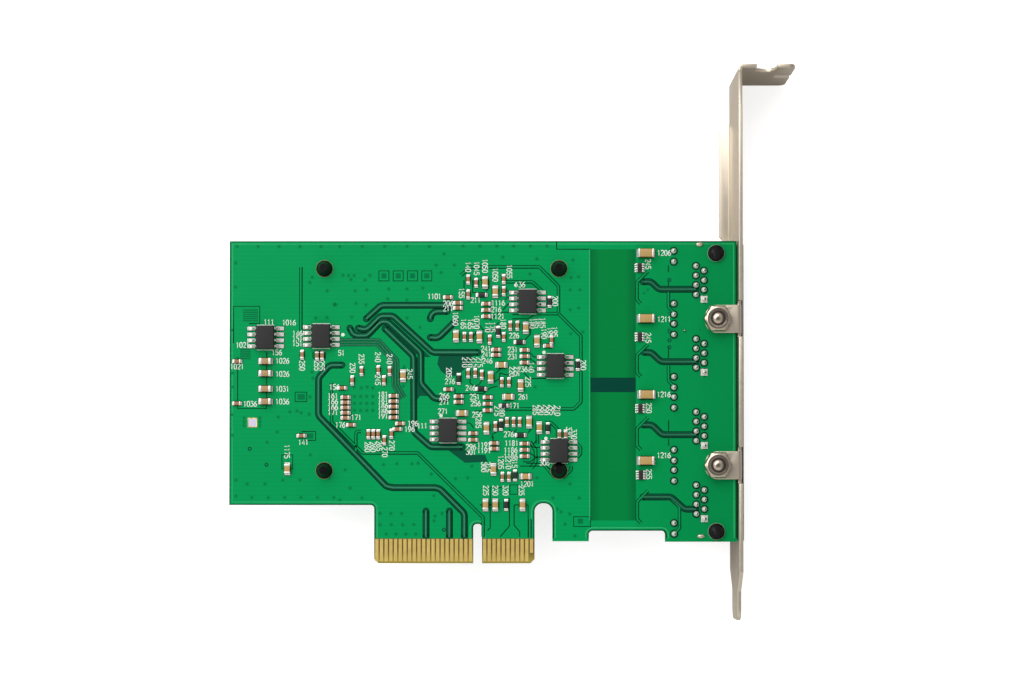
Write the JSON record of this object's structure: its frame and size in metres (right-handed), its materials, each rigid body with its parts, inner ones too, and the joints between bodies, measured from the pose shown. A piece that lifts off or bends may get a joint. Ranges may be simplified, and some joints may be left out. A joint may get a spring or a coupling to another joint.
{
  "type": "network interface card",
  "caption": "Server network card with a row of network ports on a full-height slotted bracket, lying component side down",
  "frame": {"origin": "centre of the bounding box's lowest face: the plane of the bracket's far edge and the fin tips", "axes": "+Z leaves the solder side, +X leaves the bracket's outer face, +Y runs towards the bracket's ear"},
  "size_m": [0.1209, 0.1188, 0.0189],
  "materials": {
    "solder_mask": "green solder mask over copper, satin",
    "gold_plating": "gold plating, smooth",
    "nickel_steel": "nickel plating on steel sheet, lightly brushed",
    "nickel_steel_fasteners": "nickel plating, smooth",
    "tinned_shield": "tin plating on thin sheet",
    "black_plastic": "moulded, fine texture",
    "lamp_plastic": "clear light guide",
    "solder": "bright solder",
    "anodised_aluminium": "black anodised",
    "thermal_rubber": "soft pad",
    "chip_carrier": "laminate carrier",
    "mould_compound": "moulded, dull",
    "ceramic_chip": "fired ceramic",
    "resistor_glaze": "dark glaze",
    "ferrite_body": "pressed ferrite",
    "polymer_case": "moulded case"
  },
  "bodies": {
    "root": {"circuit_board": "solder_mask", "solder_side_contacts": "gold_plating", "component_side_contacts": "gold_plating", "mounting_bracket": "nickel_steel", "bracket_screws": "nickel_steel_fasteners", "bracket_nuts": "nickel_steel_fasteners", "jack_shield": "tinned_shield", "jack_housing": "black_plastic", "port_contacts": "gold_plating", "indicator_lamps": "lamp_plastic", "solder_joints": "solder", "heat_sink": "anodised_aluminium", "push_pins": "black_plastic", "pin_springs": "nickel_steel_fasteners", "thermal_pads": "thermal_rubber", "switch_chip_carrier": "chip_carrier", "switch_chip_cover": "mould_compound", "controller_chip_carriers": "chip_carrier", "controller_chip_covers": "mould_compound", "magnetics_bodies": "mould_compound", "magnetics_leads": "solder", "memory_chip_bodies": "mould_compound", "memory_chip_leads": "solder", "tiny_capacitors": "ceramic_chip", "chip_resistors": "resistor_glaze", "ferrite_bead": "resistor_glaze", "resistor_networks": "resistor_glaze", "small_capacitor_bodies": "ceramic_chip", "small_capacitor_terminals": "solder", "power_capacitor_bodies": "ceramic_chip", "power_capacitor_terminals": "solder", "surge_capacitor_bodies": "ceramic_chip", "surge_capacitor_terminals": "solder", "power_inductors": "ferrite_body", "polymer_capacitors": "polymer_case", "crystals": "nickel_steel_fasteners"}
  },
  "joints": []
}
